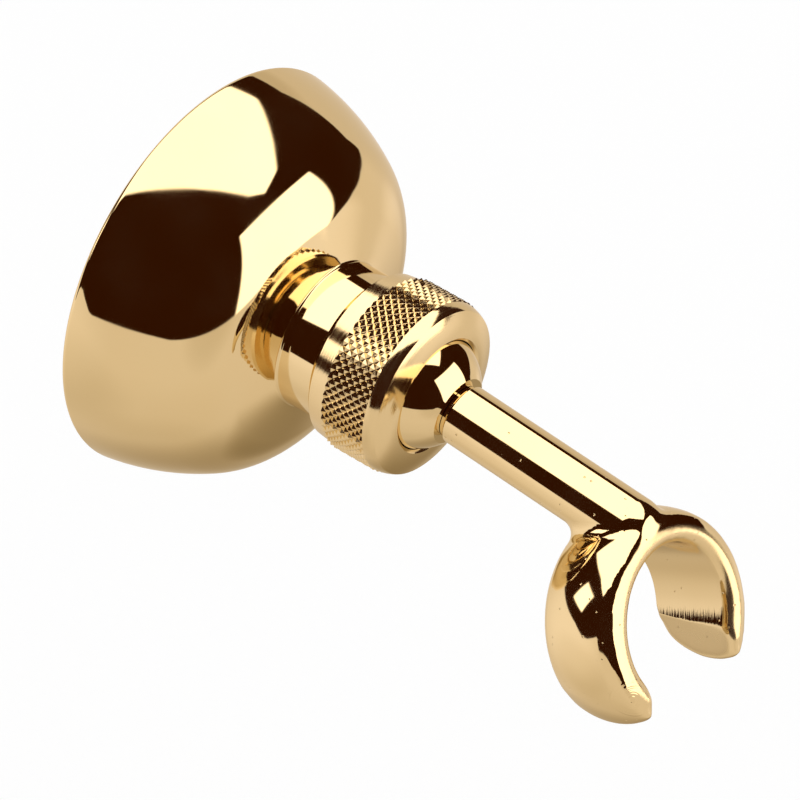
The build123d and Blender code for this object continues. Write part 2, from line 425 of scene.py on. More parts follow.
@dataclass(frozen=True)
class CastBrass(PolishedBrass):
    """Polished cast brass, with tool marks in the cradle's bore, a plainer lip and mouth, pits, and
    painted shade in the bore and the mouth.
    """

    name: str = "cast_brass_polished"
    # Darker brass colour of the painted shade in the bore and the mouth.
    painted_shade_colour: Colour = (0.68, 0.55, 0.32)
    cradle: Cradle = Cradle()
    bore_radius: float = 11.35 * MM
    bore_fade: Pair = (0.12 * MM, 0.06 * MM)
    bore_polish: float = 0.03
    # Share of the painted shade colour in the bore.
    bore_painted_shade: float = 0.4
    lip_start: float = 6.65 * MM
    lip_slope: float = 0.3696
    lip_fade: Pair = (-0.84 * MM, -0.36 * MM)
    lip_polish: float = 0.20
    mouth_half_width: float = 9.95 * MM
    mouth_slope: float = 0.0682
    mouth_fade: Pair = (0.24 * MM, 0.06 * MM)
    mouth_drop: Pair = (0.0, 2.8375 * MM)
    mouth_polish: float = 0.24
    mark_grain: float = 0.3 * MM
    mark_drift: float = 0.04
    mark_depth: float = 0.02 * MM
    cast_grain: float = 1.1 * MM
    cast_depth: float = 0.012 * MM
    pit_spacing: float = 1.6 * MM
    pit_fade: Pair = (0.13, 0.13 / 3)
    pit_share: float = 0.6
    pit_depth: float = 0.06 * MM
    buff_centre: Place = (-14.01 * MM, -95.38 * MM, -20.27 * MM)
    buff_fade: Pair = (3.6 * MM, 3.24 * MM)
    buff_grain: float = 0.45 * MM
    buff_depth: float = 0.04 * MM

    def skin(self, tree: NodeWriter, place: Source, colour: Source) -> Skin:
        """Adds boring marks, the cast mouth, buffing rings and pits to the polish, and paints shade into
        the bore and the mouth.

        Args:
            tree: Writer of the material's tree.
            place: Place on the surface.
            colour: Colour of the surface.

        Returns:
            The worked surface.
        """
        polished = super().skin(tree, place, colour)
        offset = tree.vector("SUBTRACT", place, self.cradle.centre).outputs["Vector"]
        along = tree.dot(offset, self.cradle.front)
        drop = tree.dot(offset, self.cradle.mouth)
        side = tree.split(offset)["X"]
        in_bore, on_lip, on_mouth = self.zones(tree, along, drop, side)
        drift = tree.math("MULTIPLY", drop, self.mark_drift)
        rings = tree.join(along, drift)
        away = tree.vector("DISTANCE", place, self.buff_centre).outputs["Value"]
        circles = tree.join(away)
        buffed = tree.span(away, *self.buff_fade)
        normal = polished.normal
        for where, grain, detail, zone, depth in (
            (rings, self.mark_grain, NOISE_RICH, in_bore, self.mark_depth),
            (place, self.cast_grain, NOISE_RICH, on_mouth, self.cast_depth),
            (circles, self.buff_grain, NOISE_PLAIN, buffed, self.buff_depth),
        ):
            height = tree.math("MULTIPLY", tree.noise(where, grain, detail), zone)
            normal = tree.bump(height, depth, normal)
        normal = tree.bump(tree.math("SUBTRACT", 1.0, self.pits(tree, place)), self.pit_depth, normal)
        roughness = polished.roughness
        for zone, polish in (
            (in_bore, self.bore_polish),
            (on_lip, self.lip_polish),
            (on_mouth, self.mouth_polish),
        ):
            roughness = tree.math("ADD", roughness, tree.math("MULTIPLY", zone, polish))
        # Painted shade: the bore takes part of the darker colour and the mouth's faces take all of it.
        painted_shade = tree.math("MULTIPLY_ADD", in_bore, self.bore_painted_shade, on_mouth)
        return Skin(tree.mix(painted_shade, colour, self.painted_shade_colour), roughness, normal)

    def zones(self, tree: NodeWriter, along: Source, drop: Source, side: Source) -> list[Source]:
        """Finds the machined and the unpolished faces of the cradle.

        Args:
            tree: Writer of the material's tree.
            along: Distance along the bore.
            drop: Distance from the bore's axis towards the mouth.
            side: Distance to the side.

        Returns:
            Shares from 0 to 1 of the bore, the front lip and the faces of the mouth.
        """
        over_bore = tree.math("SUBTRACT", tree.hypotenuse(drop, side), self.bore_radius)
        in_bore = tree.span(over_bore, *self.bore_fade)
        outside_bore = tree.math("SUBTRACT", 1.0, in_bore)
        lip_line = tree.math("MULTIPLY_ADD", over_bore, self.lip_slope, self.lip_start)
        on_lip = tree.span(tree.math("SUBTRACT", along, lip_line), *self.lip_fade)
        reach = tree.math("MULTIPLY_ADD", along, self.mouth_slope, tree.math("ABSOLUTE", side))
        on_mouth = tree.span(tree.math("SUBTRACT", reach, self.mouth_half_width), *self.mouth_fade)
        on_mouth = tree.math("MULTIPLY", on_mouth, tree.span(drop, *self.mouth_drop))
        return [in_bore, *(tree.math("MULTIPLY", zone, outside_bore) for zone in (on_lip, on_mouth))]

    def pits(self, tree: NodeWriter, place: Source) -> Source:
        """Strews small pits over the casting.

        Args:
            tree: Writer of the material's tree.
            place: Place on the surface.

        Returns:
            1 in a pit and 0 elsewhere.
        """
        inputs = {"Vector": place, "Scale": 1.0 / self.pit_spacing}
        cells = tree.add("ShaderNodeTexVoronoi", inputs).outputs
        pit = tree.span(cells["Distance"], *self.pit_fade)
        chosen = tree.split(cells["Color"])["X"]
        return tree.math("MULTIPLY", pit, tree.math("LESS_THAN", chosen, self.pit_share))


def read_vectors(items: bpy.types.bpy_prop_collection, name: str) -> np.ndarray:
    """Reads one vector of each item into an array.

    Args:
        items: Vertices or normals of a mesh.
        name: Name of the vector.

    Returns:
        One row for each item.
    """
    values = np.empty(3 * len(items))
    items.foreach_get(name, values)
    return values.reshape(-1, 3)


def point_normals(points: np.ndarray, faces: np.ndarray) -> np.ndarray:
    """Smooth normals of a mesh of four-cornered faces.

    Args:
        points: Points of the mesh.
        faces: Its faces.

    Returns:
        A unit normal for each point.
    """
    first, second, third, fourth = (points[faces[:, k]] for k in range(4))
    across = np.cross(third - first, fourth - second)
    normals = np.zeros_like(points)
    for corner in range(4):
        np.add.at(normals, faces[:, corner], across)
    return normals / np.linalg.norm(normals, axis=1)[:, None]


class Surface:
    """Triangles of a mesh with their smooth normals, for finding the nearest place on them."""

    def __init__(self, mesh: Mesh) -> None:
        """Reads the mesh.

        Args:
            mesh: A mesh that has only triangles.
        """
        self.points = read_vectors(mesh.vertices, "co")
        self.faces = np.array([tuple(face.vertices) for face in mesh.polygons])
        self.normals = read_vectors(mesh.corner_normals, "vector").reshape(-1, 3, 3)
        self.tree = BVHTree.FromPolygons(self.points.tolist(), self.faces.tolist())

    def nearest(self, point: np.ndarray) -> tuple[np.ndarray, np.ndarray]:
        """Finds the nearest place.

        Args:
            point: Any point.

        Returns:
            The place and its smooth unit normal.
        """
        place, _, index, _ = self.tree.find_nearest(point)
        corners = [Vector(corner) for corner in self.points[self.faces[index]]]
        shares = poly_3d_calc(corners, place)
        normal = np.array(shares) @ self.normals[index]
        return np.array(place), normal / np.linalg.norm(normal)


def plain_mesh(carrier: Object) -> Mesh:
    """Takes what an object's modifiers make as a plain mesh, and removes the object.

    Args:
        carrier: The object, not yet in the scene.

    Returns:
        The plain mesh.
    """
    bpy.context.scene.collection.objects.link(carrier)
    evaluated = carrier.evaluated_get(bpy.context.evaluated_depsgraph_get())
    mesh = bpy.data.meshes.new_from_object(evaluated)
    bpy.data.objects.remove(carrier)
    return mesh


def worked_mesh(work: bmesh.types.BMesh, name: str) -> Mesh:
    """Turns worked geometry into a mesh and frees it.

    Args:
        work: The geometry.
        name: Name of the mesh.

    Returns:
        The mesh.
    """
    mesh = bpy.data.meshes.new(name)
    work.to_mesh(mesh)
    work.free()
    return mesh


def dress(node: str, material: Material) -> None:
    """Gives a CAD node a finished material.

    Args:
        node: Name of the node.
        material: Its material.
    """
    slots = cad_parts[node].data.materials
    slots.clear()
    slots.append(material)
    LOG.info("%s dressed in %s", node, material.name)


def bulge_centre(start: Vector, end: Vector, radius: float) -> Vector:
    """Centre of an arc that bulges away from the axis.

    Args:
        start: First point, as distance from the wall and radius.
        end: Last point.
        radius: Radius of the arc.

    Returns:
        The centre.
    """
    chord = end - start
    across = Vector((-chord.y, chord.x)).normalized()
    return (start + end) / 2 - across * math.sqrt(radius**2 - (chord.length / 2) ** 2)


def swing(centre: Vector, start: Vector, end: Vector, steps: int) -> Profile:
    """Points of an arc about a known centre.

    Args:
        centre: Centre, as distance from the wall and radius.
        start: First point.
        end: Last point.
        steps: Number of parts.

    Returns:
        The points from start to end.
    """
    spoke = start - centre
    sweep = -spoke.angle_signed(end - centre)
    return [tuple(centre + Matrix.Rotation(sweep * k / steps, 2) @ spoke) for k in range(steps + 1)]


def bulge(start: Pair, end: Pair, radius: float, steps: int) -> Profile:
    """Points of an arc of a radius from start to end that bulges away from the axis."""
    first, last = Vector(start), Vector(end)
    return swing(bulge_centre(first, last, radius), first, last, steps)


def turned_mesh(name: str, outline: Profile, steps: int) -> Mesh:
    """Turns a closed outline about the holder's main axis.

    Args:
        name: Name of the mesh.
        outline: Points as distance from the wall and radius.
        steps: Number of parts round the axis.

    Returns:
        The turned mesh.
    """
    work = bmesh.new()
    rings = []
    for step in range(steps):
        angle = 2 * math.pi * step / steps
        side, up = math.sin(angle), math.cos(angle)
        rings.append([work.verts.new((radius * side, -out, radius * up)) for out, radius in outline])
    for step, ring in enumerate(rings):
        following = rings[(step + 1) % steps]
        for k in range(len(outline)):
            after = (k + 1) % len(outline)
            work.faces.new((ring[k], ring[after], following[after], following[k]))
    bmesh.ops.remove_doubles(work, verts=work.verts, dist=MERGE)
    bmesh.ops.recalc_face_normals(work, faces=work.faces)
    for face in work.faces:
        face.smooth = True
    return worked_mesh(work, name)


def add_piece(mesh: Mesh, material: Material, body: Body, node: str) -> None:
    """Adds a finished mesh to the scene in place of a CAD node.

    Args:
        mesh: The mesh, which gives the piece its name.
        material: Its material.
        body: Body that carries it.
        node: CAD node that it stands for.
    """
    mesh.materials.append(material)
    piece = bpy.data.objects.new(mesh.name, mesh)
    bpy.context.scene.collection.objects.link(piece)
    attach(piece, body.value)
    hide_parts(node)
    LOG.info("%s built with %d faces", piece.name, len(mesh.polygons))


@dataclass
class LockingNut:
    """Locking nut over the ball, with a diamond knurl between two plain rings."""

    teeth: int = 60
    row_step: float = 0.733 * MM
    row_shift: float = 0.5
    spare_rows: int = 2
    knurl_start: float = 34.5 * MM
    knurl_end: float = 42.2 * MM
    tooth_depth: float = 0.36 * MM
    tooth_fill: float = 0.94
    tooth_flat: float = 0.10
    rear_radius: float = 13.5 * MM
    rear_chamfer: float = 0.4 * MM
    ring_radius: float = 13.85 * MM
    front_radius: float = 14.0 * MM
    edge_radius: float = 13.4 * MM
    front_length: float = 1.9 * MM
    ring_curve: float = 5.0 * MM
    dome_curve: float = 14.0 * MM
    lip_radius: float = 9.45 * MM
    seat_radius: float = 9.0 * MM
    bore_radius: float = 11.48 * MM
    bore_end: float = 40.1 * MM
    ball_out: float = 41.2 * MM
    hollow_radius: float = 9.675 * MM
    arc_steps: int = 14
    turn_steps: int = 240

    def __post_init__(self) -> None:
        """Takes the nut's ends and its knurl's tip radius from the CAD node."""
        low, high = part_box("knurled_nut")
        self.rear_out = -high.y
        self.lip_out = -low.y
        self.tip_radius = high.x
        self.root_radius = self.tip_radius - self.tooth_depth

    def profile(self) -> Profile:
        """Outline of the nut's wall, as distance from the wall and radius.

        Returns:
            The points from the rear over the outside to the lip and back along the inside.
        """
        edge_out = self.knurl_end + self.front_length
        edge, lip = (edge_out, self.edge_radius), (self.lip_out, self.lip_radius)
        seat_out = self.ball_out + math.sqrt(self.hollow_radius**2 - self.seat_radius**2)
        hollow_at_end = math.sqrt(self.hollow_radius**2 - (self.bore_end - self.ball_out) ** 2)
        return [
            (self.rear_out, self.rear_radius - self.rear_chamfer),
            (self.rear_out + self.rear_chamfer, self.rear_radius),
            (self.knurl_start, self.ring_radius),
            (self.knurl_start, self.root_radius),
            (self.knurl_end, self.root_radius),
            *bulge((self.knurl_end, self.front_radius), edge, self.ring_curve, self.arc_steps),
            *bulge(edge, lip, self.dome_curve, self.arc_steps)[1:],
            (self.lip_out - self.lip_radius + self.seat_radius, self.seat_radius),
            (seat_out, self.seat_radius),
            (self.bore_end, hollow_at_end),
            (self.bore_end, self.bore_radius),
            (self.rear_out, self.bore_radius),
        ]

    def knurl_tree(self, material: Material) -> tuple[NodeTree, dict[str, object]]:
        """Node tree that sets pointed teeth in staggered rows round a band.

        Args:
            material: Material of the teeth.

        Returns:
            The Geometry Nodes tree, and the values of its inputs by their identifiers.
        """
        tree = bpy.data.node_groups.new("diamond_knurl", "GeometryNodeTree")
        for way in ("INPUT", "OUTPUT"):
            tree.interface.new_socket("Geometry", in_out=way, socket_type="NodeSocketGeometry")
        rows = int((self.knurl_end - self.knurl_start) / self.row_step) + self.spare_rows
        values = {}
        for name, kind, value in (
            ("Teeth", "Int", self.teeth),
            ("Rows", "Int", rows),
            ("Row Step", "Float", self.row_step),
            ("Row Shift", "Float", self.row_shift),
            ("Start", "Float", self.knurl_start),
            ("Root Radius", "Float", self.root_radius),
            ("Depth", "Float", self.tooth_depth),
            ("Fill", "Float", self.tooth_fill),
            ("Flat", "Float", self.tooth_flat),
            ("Material", "Material", material),
        ):
            socket = tree.interface.new_socket(name, in_out="INPUT", socket_type="NodeSocket" + kind)
            values[socket.identifier] = value
        writer = NodeWriter(tree)
        size = writer.add("NodeGroupInput", {}).outputs
        count = writer.math("MULTIPLY", size["Teeth"], size["Rows"])
        index = writer.add("GeometryNodeInputIndex", {}).outputs[0]
        row = writer.math("FLOOR", writer.math("DIVIDE", index, size["Teeth"]))
        column = writer.math("FLOORED_MODULO", index, size["Teeth"])
        stagger = writer.math("MULTIPLY", writer.math("FLOORED_MODULO", row, 2.0), size["Row Shift"])
        turn = writer.math("DIVIDE", writer.math("ADD", column, stagger), size["Teeth"])
        angle = writer.math("MULTIPLY", turn, 2 * math.pi)
        out = writer.math("MULTIPLY_ADD", row, size["Row Step"], size["Start"])
        waves = [writer.math(wave, angle) for wave in ("SINE", "COSINE")]
        side, up = (writer.math("MULTIPLY", wave, size["Root Radius"]) for wave in waves)
        place = writer.join(side, writer.math("MULTIPLY", out, -1.0), up)
        points = writer.add("GeometryNodePoints", {"Count": count, "Position": place}).outputs[0]
        tooth = writer.add(
            "GeometryNodeMeshCone",
            {"Vertices": 4, "Radius Top": size["Flat"], "Radius Bottom": 1.0, "Depth": 1.0},
        ).outputs["Mesh"]
        girth = writer.math("MULTIPLY", size["Root Radius"], math.pi)
        half_width = writer.math("MULTIPLY", writer.math("DIVIDE", girth, size["Teeth"]), size["Fill"])
        half_length = writer.math("MULTIPLY", size["Row Step"], size["Fill"])
        scale = writer.join(half_width, half_length, size["Depth"])
        turned = writer.add("FunctionNodeEulerToRotation", {0: writer.join(y=angle)}).outputs[0]
        placed = writer.add(
            "GeometryNodeInstanceOnPoints",
            {"Points": points, "Instance": tooth, "Rotation": turned, "Scale": scale},
        ).outputs[0]
        solid = writer.add("GeometryNodeRealizeInstances", {0: placed}).outputs[0]
        dressed = {"Geometry": solid, "Material": size["Material"]}
        finished = writer.add("GeometryNodeSetMaterial", dressed).outputs[0]
        writer.add("NodeGroupOutput", {0: finished})
        return tree, values

    def knurl_mesh(self, material: Material) -> Mesh:
        """Grows the teeth and cuts them square at both ends of the band.

        Args:
            material: Material of the teeth.

        Returns:
            The teeth as a plain mesh.
        """
        carrier = bpy.data.objects.new("knurl_carrier", bpy.data.meshes.new("knurl_carrier"))
        modifier = carrier.modifiers.new("knurl", "NODES")
        modifier.node_group, values = self.knurl_tree(material)
        for identifier, value in values.items():
            modifier[identifier] = value
        work = bmesh.new()
        work.from_mesh(plain_mesh(carrier))
        for end_out, outward in ((self.knurl_start, 1.0), (self.knurl_end, -1.0)):
            cut = bmesh.ops.bisect_plane(
                work,
                geom=[*work.verts, *work.edges, *work.faces],
                dist=MERGE,
                plane_co=(0.0, -end_out, 0.0),
                plane_no=(0.0, outward, 0.0),
                clear_outer=True,
            )
            edges = [piece for piece in cut["geom_cut"] if isinstance(piece, bmesh.types.BMEdge)]
            bmesh.ops.holes_fill(work, edges=edges, sides=0)
        return worked_mesh(work, "knurl")

    def build(self, material: Material) -> None:
        """Joins wall and teeth into the piece that stands for the CAD nut.

        Args:
            material: Material of the whole nut.
        """
        work = bmesh.new()
        work.from_mesh(turned_mesh("locking_nut_wall", self.profile(), self.turn_steps))
        work.from_mesh(self.knurl_mesh(material))
        mesh = worked_mesh(work, "locking_nut")
        mesh.set_sharp_from_angle(angle=math.radians(SHARP_ANGLE))
        add_piece(mesh, material, Body.LOCK_NUT, "knurled_nut")


@dataclass
class WallFixing:
    """Bell flange with a softly rounded rim, and the steel fixing under it."""

    steel: tuple[str, ...] = ("mounting_plate", "mounting_stud", "stud_washer", "stud_nut")
    rim_radius: float = 32.8 * MM
    height: float = 23.6 * MM
    corner_radius: float = 24.0 * MM
    crown_slope: float = 16.0
    crown_radius: float = 13.5 * MM
    skirt_curve: float = 42.0 * MM
    shoulder_curve: float = 15.0 * MM
    rim_curve: float = 0.7 * MM
    wall: float = 1.6 * MM
    hole_radius: float = 8.05 * MM
    skirt_steps: int = 60
    shoulder_steps: int = 50
    rim_steps: int = 16
    inner_steps: int = 20
    turn_steps: int = 288
    sharp_angle: float = 10.0

    def outline(self) -> Profile:
        """Outline of the bell, as distance from the wall and radius.

        Returns:
            The points from the rim over the outside to the hole and back along the inside.
        """
        slope = math.radians(self.crown_slope)
        crown = Vector((self.height, self.crown_radius))
        corner_out = self.height - (self.corner_radius - self.crown_radius) * math.tan(slope)
        first, last = Vector((0.0, self.rim_radius)), Vector((corner_out, self.corner_radius))
        skirt = bulge_centre(first, last, self.skirt_curve)
        outward = Vector((math.cos(slope), math.sin(slope)))
        uphill = Vector((-outward.y, outward.x))
        reach = self.skirt_curve - self.shoulder_curve
        depth = outward.dot(crown - skirt) - self.shoulder_curve
        shoulder = skirt + outward * depth + uphill * math.sqrt(reach**2 - depth**2)
        away = (shoulder - skirt).normalized()
        rim_reach = self.skirt_curve - self.rim_curve
        rim_height = math.sqrt(rim_reach**2 - (self.rim_curve - skirt.x) ** 2)
        rim = Vector((self.rim_curve, skirt.y + rim_height))
        rim_end = skirt + (rim - skirt).normalized() * self.skirt_curve
        inner_curve = self.skirt_curve - self.wall
        inner_rim = Vector((0.0, skirt.y + math.sqrt(inner_curve**2 - skirt.x**2)))
        inner_crown = self.crown_radius - self.wall * (1.0 - math.cos(slope)) / math.sin(slope)
        skirt_end = skirt + away * self.skirt_curve
        inner_end = skirt + away * inner_curve
        crown_start = shoulder + outward * self.shoulder_curve
        inner_start = shoulder + outward * (self.shoulder_curve - self.wall)
        return [
            *swing(rim, Vector((0.0, rim.y)), rim_end, self.rim_steps),
            *swing(skirt, rim_end, skirt_end, self.skirt_steps)[1:],
            *swing(shoulder, skirt_end, crown_start, self.shoulder_steps)[1:],
            tuple(crown),
            (self.height, self.hole_radius),
            (self.height - self.wall, self.hole_radius),
            (self.height - self.wall, inner_crown),
            *swing(shoulder, inner_start, inner_end, self.inner_steps),
            *swing(skirt, inner_end, inner_rim, self.inner_steps)[1:],
        ]

    def build(self, brass: Material, steel: Material) -> None:
        """Turns the bell and gives the fixing its finish.

        Args:
            brass: Material of the bell.
            steel: Material of the fixing.
        """
        for node in self.steel:
            dress(node, steel)
        mesh = turned_mesh("bell", self.outline(), self.turn_steps)
        mesh.set_sharp_from_angle(angle=math.radians(self.sharp_angle))
        add_piece(mesh, brass, Body.WALL_BODY, "bell_flange")


@dataclass
class BallSocket:
    """Socket body that grows out of the bell, with the ball and the nylon seat in it."""

    ball: str = "ball"
    seat: str = "ball_seat"
    bell_out: float = 23.6 * MM
    foot_radius: float = 13.5 * MM
    foot_slope: float = 16.0
    foot_curve: float = 0.5 * MM
    barrel_radius: float = 11.9 * MM
    barrel_end: float = 30.7 * MM
    barrel_chamfer: float = 0.4 * MM
    thread_radius: float = 11.4 * MM
    thread_end: float = 39.5 * MM
    thread_chamfer: float = 0.5 * MM
    cup_radius: float = 10.18 * MM
    cup_floor: float = 30.3 * MM
    spigot_radius: float = 8.0 * MM
    spigot_end: float = 21.0 * MM
    stud_radius: float = 4.05 * MM
    stud_end: float = 28.45 * MM
    arc_steps: int = 8
    turn_steps: int = 240

    def foot(self) -> Profile:
        """Small hollow curve that leads from the barrel into the slope of the bell's crown.

        Returns:
            The points from the barrel to the crown.
        """
        slope = math.radians(self.foot_slope)
        middle_radius = self.barrel_radius + self.foot_curve
        rise = (self.foot_radius - middle_radius) * math.tan(slope) + self.foot_curve / math.cos(slope)
        middle = Vector((self.bell_out + rise, middle_radius))
        start = Vector((middle.x, self.barrel_radius))
        end = middle - self.foot_curve * Vector((math.cos(slope), math.sin(slope)))
        return swing(middle, start, end, self.arc_steps)

    def outline(self) -> Profile:
        """Outline of the socket body, as distance from the wall and radius.

        Returns:
            The points from the foot through the inside and back along the outside.
        """
        return [
            (self.bell_out, self.foot_radius),
            (self.bell_out, self.spigot_radius),
            (self.spigot_end, self.spigot_radius),
            (self.spigot_end, self.stud_radius),
            (self.stud_end, self.stud_radius),
            (self.stud_end, 0.0),
            (self.cup_floor, 0.0),
            (self.cup_floor, self.cup_radius),
            (self.thread_end, self.cup_radius),
            (self.thread_end, self.thread_radius - self.thread_chamfer),
            (self.thread_end - self.thread_chamfer, self.thread_radius),
            (self.barrel_end, self.thread_radius),
            (self.barrel_end, self.barrel_radius - self.barrel_chamfer),
            (self.barrel_end - self.barrel_chamfer, self.barrel_radius),
            *self.foot(),
        ]

    def build(self, brass: Material, nylon: Material) -> None:
        """Turns the socket and gives ball and seat their finish.

        Args:
            brass: Material of socket and ball.
            nylon: Material of the seat.
        """
        dress(self.ball, brass)
        dress(self.seat, nylon)
        mesh = turned_mesh("ball_socket", self.outline(), self.turn_steps)
        mesh.set_sharp_from_angle(angle=math.radians(SHARP_ANGLE))
        add_piece(mesh, brass, Body.WALL_BODY, "socket_body")


@dataclass
class HookArm:
    """Arm and cradle in one casting, whose front lip and prong tips are rounded by hand polishing."""

    node: str = "hook_arm"
    cradle: Cradle = Cradle()
    grain: float = 0.28 * MM
    lip_zone: float = 4.0 * MM
    tip_zone: float = 5.0 * MM
    margin: float = 0.8 * MM
    ramp: float = 1.6 * MM
    passes: int = 44
    pull: float = 0.5
    normal_lead: float = 3.0

    def zone(self, points: np.ndarray) -> np.ndarray:
        """How far points lie inside the rounded zone, in metres."""
        in_lip = self.cradle.along(points) - self.lip_zone
        return np.maximum(in_lip, self.cradle.drop(points) - self.tip_zone)

    def fine_mesh(self, shape: Mesh) -> tuple[np.ndarray, np.ndarray]:
        """Covers the rounded zone with a fine even mesh.

        Args:
            shape: Mesh of the whole arm.

        Returns:
            Points, and four-cornered faces as indices.
        """
        carrier = bpy.data.objects.new("hook_carrier", shape)
        modifier = carrier.modifiers.new("even", "REMESH")
        modifier.mode = "VOXEL"
        modifier.voxel_size = self.grain
        mesh = plain_mesh(carrier)
        points = read_vectors(mesh.vertices, "co")
        corners = np.array([tuple(face.vertices) for face in mesh.polygons])
        kept = corners[np.all(self.zone(points)[corners] > -self.margin, axis=1)]
        used, faces = np.unique(kept, return_inverse=True)
        return points[used], faces.reshape(kept.shape)

    def settle(self, points: np.ndarray, surface: Surface) -> np.ndarray:
        """Puts points onto the casting's surface."""
        return np.array([surface.nearest(point)[0] for point in points])

    def polish(self, points: np.ndarray, faces: np.ndarray) -> np.ndarray:
        """Rounds the edges of the zone by drawing each point towards its neighbours.

        Args:
            points: Points of the fine mesh.
            faces: Its faces.

        Returns:
            The drawn points.
        """
        pairs = np.concatenate([faces[:, [k, (k + 1) % 4]] for k in range(4)])
        pairs = np.unique(np.sort(pairs, axis=1), axis=0)
        count = np.bincount(pairs.ravel(), minlength=len(points))[:, None]
        weight = self.pull * self.share(points)[:, None]
        for _ in range(self.passes):
            total = np.zeros_like(points)
            np.add.at(total, pairs[:, 0], points[pairs[:, 1]])
            np.add.at(total, pairs[:, 1], points[pairs[:, 0]])
            points = points + weight * (total / count - points)
        return points

    def add_part(
        self,
        work: bmesh.types.BMesh,
        points: np.ndarray,
        faces: np.ndarray,
        normals: np.ndarray,
        rounded: bool,
    ) -> None:
        """Adds faces to a mesh and cuts them off along the rounded zone's planes.

        Args:
            work: The mesh, which keeps its normals in a layer.
            points: Points of the part.
            faces: Its faces.
            normals: A normal for each corner of each face.
            rounded: Whether the part lies in the rounded zone or outside it.
        """
        layer = work.loops.layers.float_vector["finish_normal"]
        corners = [work.verts.new(point) for point in points]
        added = []
        for face, turns in zip(faces, normals):
            made = work.faces.new([corners[index] for index in face])
            added.append(made)
            for corner, normal in zip(made.loops, turns):
                corner[layer] = normal
        pieces = {*added, *corners, *(edge for face in added for edge in face.edges)}
        for place, way in self.cradle.planes(self.lip_zone, self.tip_zone):
            cut = bmesh.ops.bisect_plane(work, geom=list(pieces), dist=CUT, plane_co=place, plane_no=way)
            pieces = set(cut["geom"])
        parts = [piece for piece in pieces if isinstance(piece, bmesh.types.BMFace)]
        middles = np.array([face.calc_center_median() for face in parts])
        inside = self.zone(middles) > 0.0
        spare = [face for face, hit in zip(parts, inside) if hit != rounded]
        bmesh.ops.delete(work, geom=spare, context="FACES")

    def share(self, points: np.ndarray) -> np.ndarray:
        """Strength of the rounding at points, from 0 at the zone's edge to 1 inside it."""
        part = np.clip(self.zone(points) / self.ramp, 0.0, 1.0)
        return part * part * (3.0 - 2.0 * part)

    def build(self, material: Material) -> None:
        """Joins the plain part of the casting and its rounded zone into one piece.

        Args:
            material: Material of the arm.
        """
        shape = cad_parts[self.node].data.copy()
        shape.transform(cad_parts[self.node].matrix_world)
        surface = Surface(shape)
        points, faces = self.fine_mesh(shape)
        points = self.settle(points, surface)
        share = np.clip(self.normal_lead * self.share(points), 0.0, 1.0)[:, None]
        cast_normals = np.array([surface.nearest(point)[1] for point in points])
        points = self.polish(points, faces)
        normals = cast_normals * (1.0 - share) + point_normals(points, faces) * share
        work = bmesh.new()
        layer = work.loops.layers.float_vector.new("finish_normal")
        self.add_part(work, surface.points, surface.faces, surface.normals, False)
        self.add_part(work, points, faces, normals[faces], True)
        bmesh.ops.triangulate(work, faces=work.faces)
        corner_normals = [tuple(corner[layer]) for face in work.faces for corner in face.loops]
        mesh = worked_mesh(work, "cradle_arm")
        mesh.attributes.remove(mesh.attributes["finish_normal"])
        mesh.polygons.foreach_set("use_smooth", [True] * len(mesh.polygons))
        mesh.normals_split_custom_set(corner_normals)
        add_piece(mesh, material, Body.ARM, self.node)


@dataclass(frozen=True)
class Field:
    """One flat light of the studio, as the holder sees it.

    Each corner is a bearing and a height in degrees. The bearing is 0 straight out of the wall and
    grows towards +X. The corners go round the light in order.
    """

    corners: tuple[Pair, ...]
    edge: float = 1.0


@dataclass(frozen=True)
class PaintedPatch:
    """A soft patch on the table, as the holder sees it: a darker patch is painted shade and a brighter one
    painted light.

    The reach is the patch's radius in degrees. The strength is the power of e by which its middle
    differs.
    """

    bearing: float
    height: float
    reach: float
    strength: float


